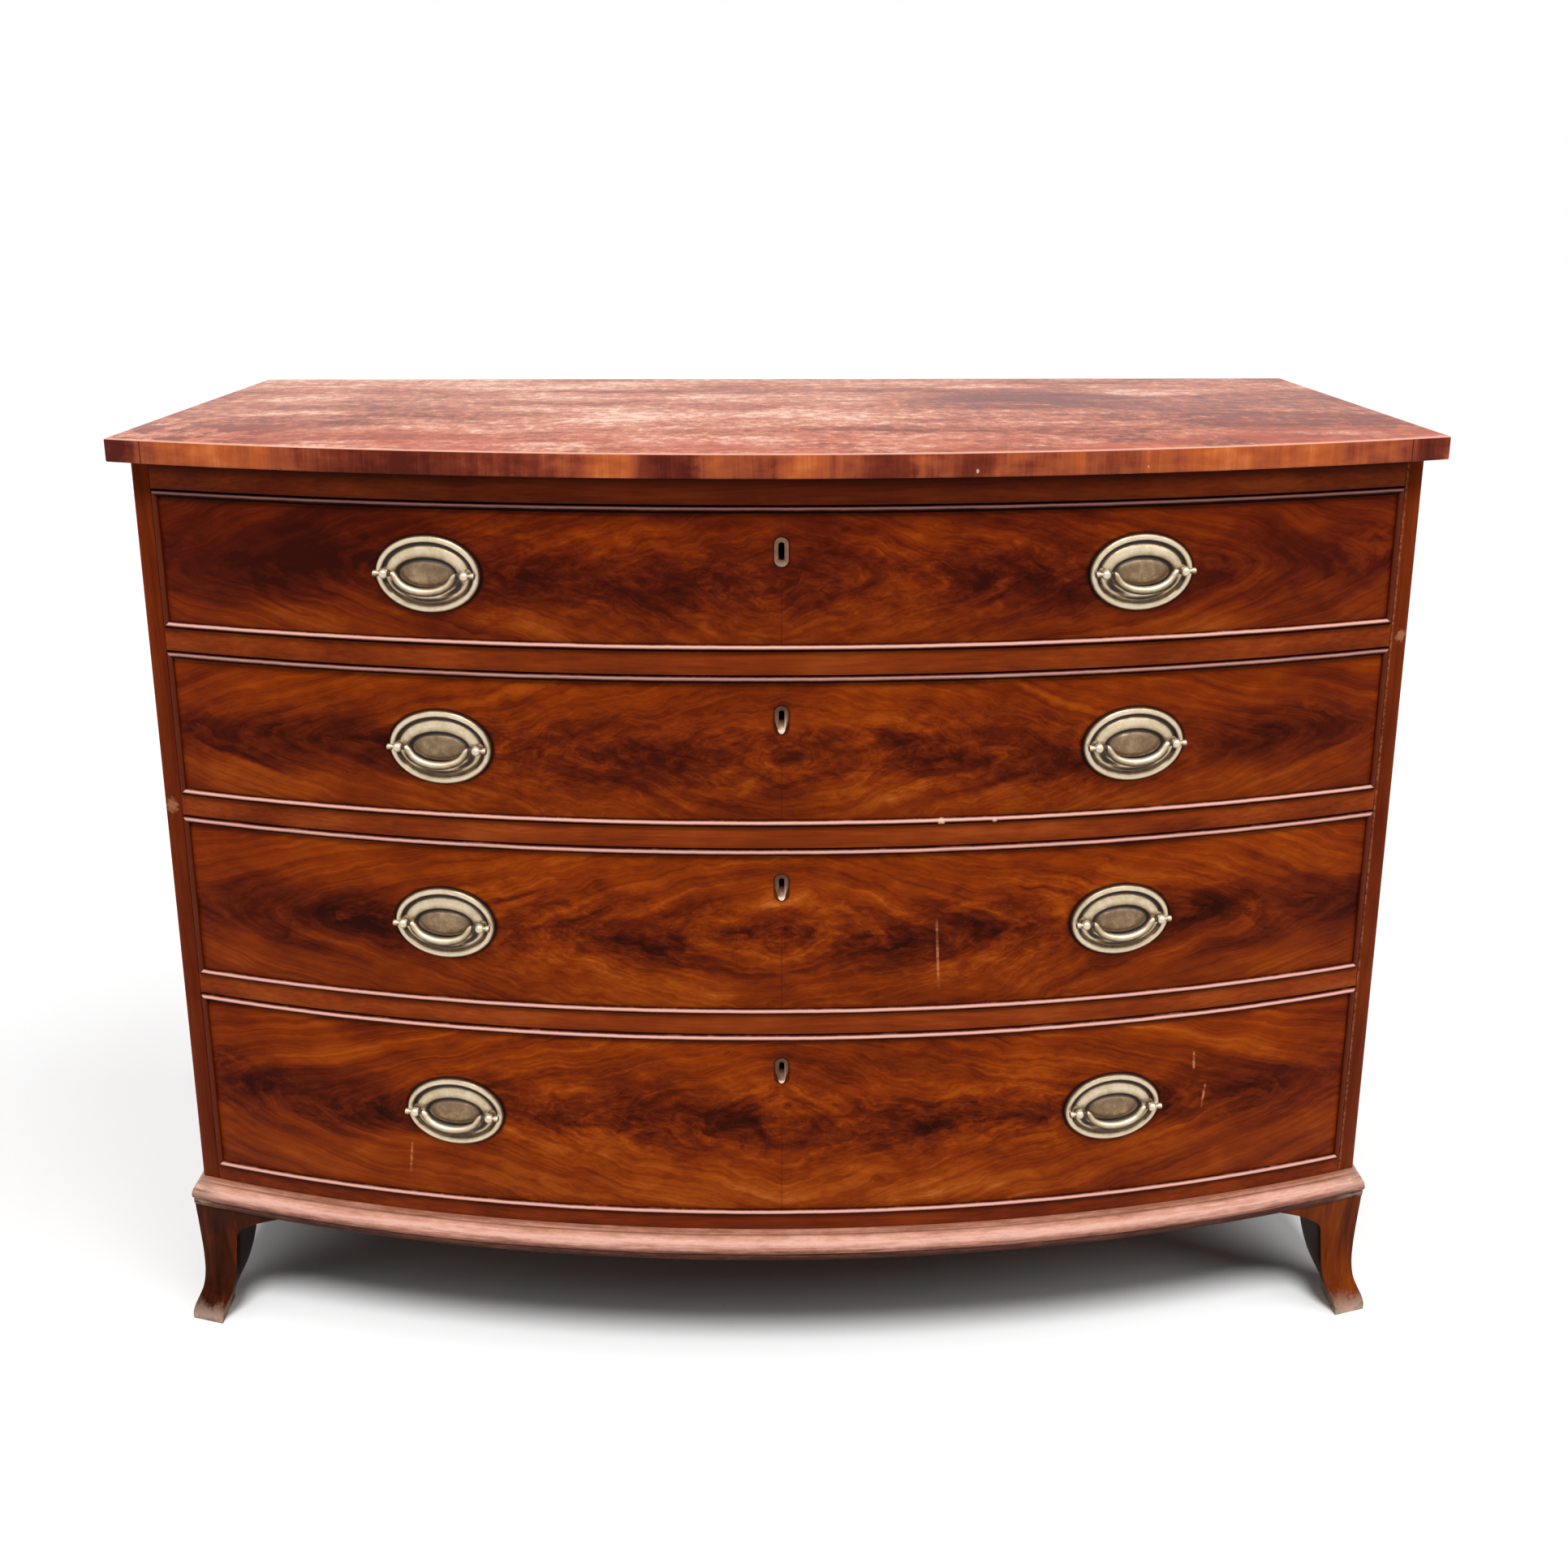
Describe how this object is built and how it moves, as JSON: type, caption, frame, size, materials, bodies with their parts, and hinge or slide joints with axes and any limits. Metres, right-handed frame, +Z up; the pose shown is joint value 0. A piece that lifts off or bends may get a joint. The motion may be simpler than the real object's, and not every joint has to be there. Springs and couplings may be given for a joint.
{
  "type": "bow front chest of drawers",
  "caption": "Bow front chest of long graduated drawers with cockbeads, oval brass bail handles, a moulded base and swept bracket feet.",
  "frame": {"origin": "middle of the chest's outline on plan, on the floor", "axes": "+X to the right seen from the front, +Y towards the back, +Z up"},
  "size_m": [1.086, 0.574, 0.812],
  "materials": {
    "top_veneer": "faded red mahogany veneer, worn wax polish",
    "rail_veneer": "red-brown mahogany veneer, polished",
    "flame_veneer": "flame figured mahogany veneer, french polish",
    "bead": "dark mahogany bead, polished",
    "base_moulding": "mahogany moulding, worn pale",
    "foot": "solid mahogany, polished, worn toes",
    "oak": "plain drawer lining, unfinished",
    "pine": "plain secondary wood, unfinished",
    "brass": "aged pressed brass",
    "lock_brass": "aged brass"
  },
  "bodies": {
    "case": {"top_board": "top_veneer", "case_side_left": "rail_veneer", "case_side_right": "rail_veneer", "back_panel": "pine", "top_rail": "rail_veneer", "divider_upper": "rail_veneer", "divider_middle": "rail_veneer", "divider_lower": "rail_veneer", "bottom_board": "rail_veneer", "base_moulding_front": "base_moulding", "base_moulding_left": "base_moulding", "base_moulding_right": "base_moulding", "front_foot_left": "foot", "front_foot_right": "foot", "back_foot_left": "foot", "back_foot_right": "foot"},
    "drawer_1": {"drawer_1_front": "flame_veneer", "drawer_1_cockbead": "bead", "drawer_1_lock": "lock_brass", "drawer_1_side_left": "oak", "drawer_1_side_right": "oak", "drawer_1_bottom": "pine", "drawer_1_back": "oak", "drawer_1_backplate_left": "brass", "drawer_1_backplate_right": "brass"},
    "drawer_1_bail_left": {"drawer_1_bail_left": "brass"},
    "drawer_1_bail_right": {"drawer_1_bail_right": "brass"},
    "drawer_2": {"drawer_2_front": "flame_veneer", "drawer_2_cockbead": "bead", "drawer_2_lock": "lock_brass", "drawer_2_side_left": "oak", "drawer_2_side_right": "oak", "drawer_2_bottom": "pine", "drawer_2_back": "oak", "drawer_2_backplate_left": "brass", "drawer_2_backplate_right": "brass"},
    "drawer_2_bail_left": {"drawer_2_bail_left": "brass"},
    "drawer_2_bail_right": {"drawer_2_bail_right": "brass"},
    "drawer_3": {"drawer_3_front": "flame_veneer", "drawer_3_cockbead": "bead", "drawer_3_lock": "lock_brass", "drawer_3_side_left": "oak", "drawer_3_side_right": "oak", "drawer_3_bottom": "pine", "drawer_3_back": "oak", "drawer_3_backplate_left": "brass", "drawer_3_backplate_right": "brass"},
    "drawer_3_bail_left": {"drawer_3_bail_left": "brass"},
    "drawer_3_bail_right": {"drawer_3_bail_right": "brass"},
    "drawer_4": {"drawer_4_front": "flame_veneer", "drawer_4_cockbead": "bead", "drawer_4_lock": "lock_brass", "drawer_4_side_left": "oak", "drawer_4_side_right": "oak", "drawer_4_bottom": "pine", "drawer_4_back": "oak", "drawer_4_backplate_left": "brass", "drawer_4_backplate_right": "brass"},
    "drawer_4_bail_left": {"drawer_4_bail_left": "brass"},
    "drawer_4_bail_right": {"drawer_4_bail_right": "brass"}
  },
  "joints": [
    {"name": "drawer_1_slide", "type": "slide", "parent": "case", "child": "drawer_1", "axis": [0, -1, 0], "range_m": [0, 0.32]},
    {"name": "drawer_1_bail_left_hinge", "type": "hinge", "parent": "drawer_1", "child": "drawer_1_bail_left", "pos_m": [-0.27879, -0.25409, 0.7137], "axis": [-0.9838, 0.1794, 0], "range_deg": [0, 160]},
    {"name": "drawer_1_bail_right_hinge", "type": "hinge", "parent": "drawer_1", "child": "drawer_1_bail_right", "pos_m": [0.28584, -0.25279, 0.7137], "axis": [-0.9829, -0.1839, 0], "range_deg": [0, 160]},
    {"name": "drawer_2_slide", "type": "slide", "parent": "case", "child": "drawer_2", "axis": [0, -1, 0], "range_m": [0, 0.32]},
    {"name": "drawer_2_bail_left_hinge", "type": "hinge", "parent": "drawer_2", "child": "drawer_2_bail_left", "pos_m": [-0.27628, -0.25455, 0.57155], "axis": [-0.9841, 0.1778, 0], "range_deg": [0, 160]},
    {"name": "drawer_2_bail_right_hinge", "type": "hinge", "parent": "drawer_2", "child": "drawer_2_bail_right", "pos_m": [0.28735, -0.25251, 0.57155], "axis": [-0.9828, -0.1849, 0], "range_deg": [0, 160]},
    {"name": "drawer_3_slide", "type": "slide", "parent": "case", "child": "drawer_3", "axis": [0, -1, 0], "range_m": [0, 0.32]},
    {"name": "drawer_3_bail_left_hinge", "type": "hinge", "parent": "drawer_3", "child": "drawer_3_bail_left", "pos_m": [-0.28081, -0.25372, 0.4182], "axis": [-0.9835, 0.1807, 0], "range_deg": [0, 160]},
    {"name": "drawer_3_bail_right_hinge", "type": "hinge", "parent": "drawer_3", "child": "drawer_3_bail_right", "pos_m": [0.28433, -0.25307, 0.4182], "axis": [-0.9831, -0.183, 0], "range_deg": [0, 160]},
    {"name": "drawer_4_slide", "type": "slide", "parent": "case", "child": "drawer_4", "axis": [0, -1, 0], "range_m": [0, 0.32]},
    {"name": "drawer_4_bail_left_hinge", "type": "hinge", "parent": "drawer_4", "child": "drawer_4_bail_left", "pos_m": [-0.28131, -0.25363, 0.2436], "axis": [-0.9835, 0.181, 0], "range_deg": [0, 160]},
    {"name": "drawer_4_bail_right_hinge", "type": "hinge", "parent": "drawer_4", "child": "drawer_4_bail_right", "pos_m": [0.28685, -0.2526, 0.2436], "axis": [-0.9828, -0.1846, 0], "range_deg": [0, 160]}
  ]
}
